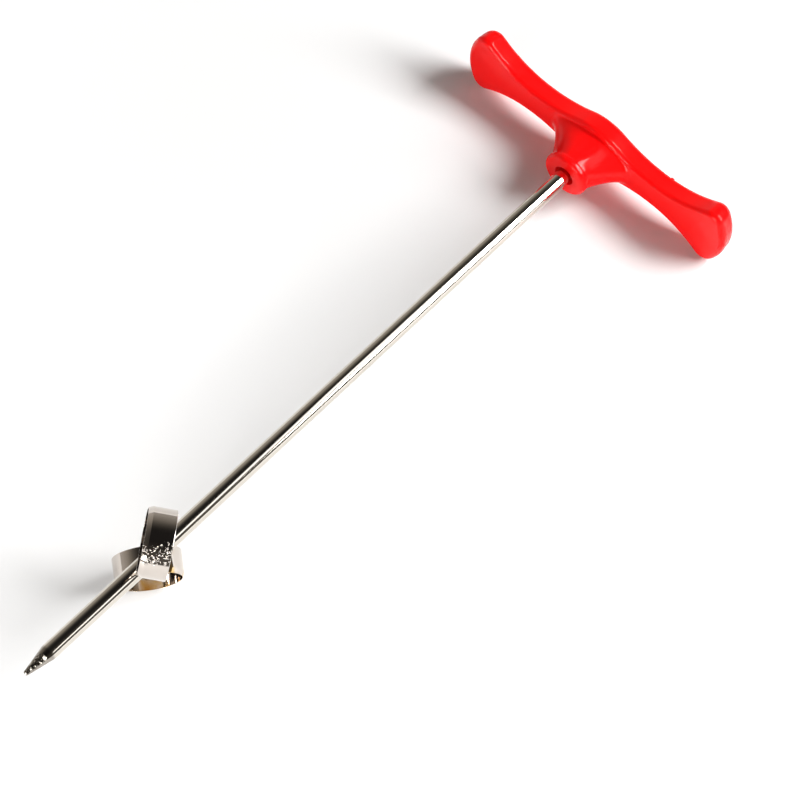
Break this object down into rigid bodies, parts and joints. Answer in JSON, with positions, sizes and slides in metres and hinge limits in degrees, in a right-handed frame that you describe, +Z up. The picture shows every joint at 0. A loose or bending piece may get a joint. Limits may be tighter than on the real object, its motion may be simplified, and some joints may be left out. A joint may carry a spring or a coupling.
{
  "type": "tornado potato cutter",
  "caption": "T-handled spiral cutter: a pointed plated steel spike with ring blades brazed to both sides near the point, turned by hand with a red moulded dog-bone grip.",
  "frame": {"origin": "on the table under the middle of the tool's outline, as it lies on both ends of the grip and on the lower ring blade", "axes": "+X runs from the point towards the handle, in plan along the spike; +Y runs along the grip bar; +Z is up from the table. The spike leans: its point is higher than its handle end."},
  "size_m": [0.195, 0.0816, 0.0357],
  "materials": {
    "plated_steel": "bright nickel-plated drawn steel rod",
    "blade_steel": "bright nickel-plated steel strip with a ground cutting edge",
    "braze": "satin braze filler under the plating",
    "red_plastic": "glossy injection-moulded red plastic"
  },
  "bodies": {
    "root": {"spike": "plated_steel", "ring_blade_upper": "blade_steel", "ring_blade_lower": "blade_steel", "braze_upper": "braze", "braze_lower": "braze", "t_handle": "red_plastic"}
  },
  "joints": []
}
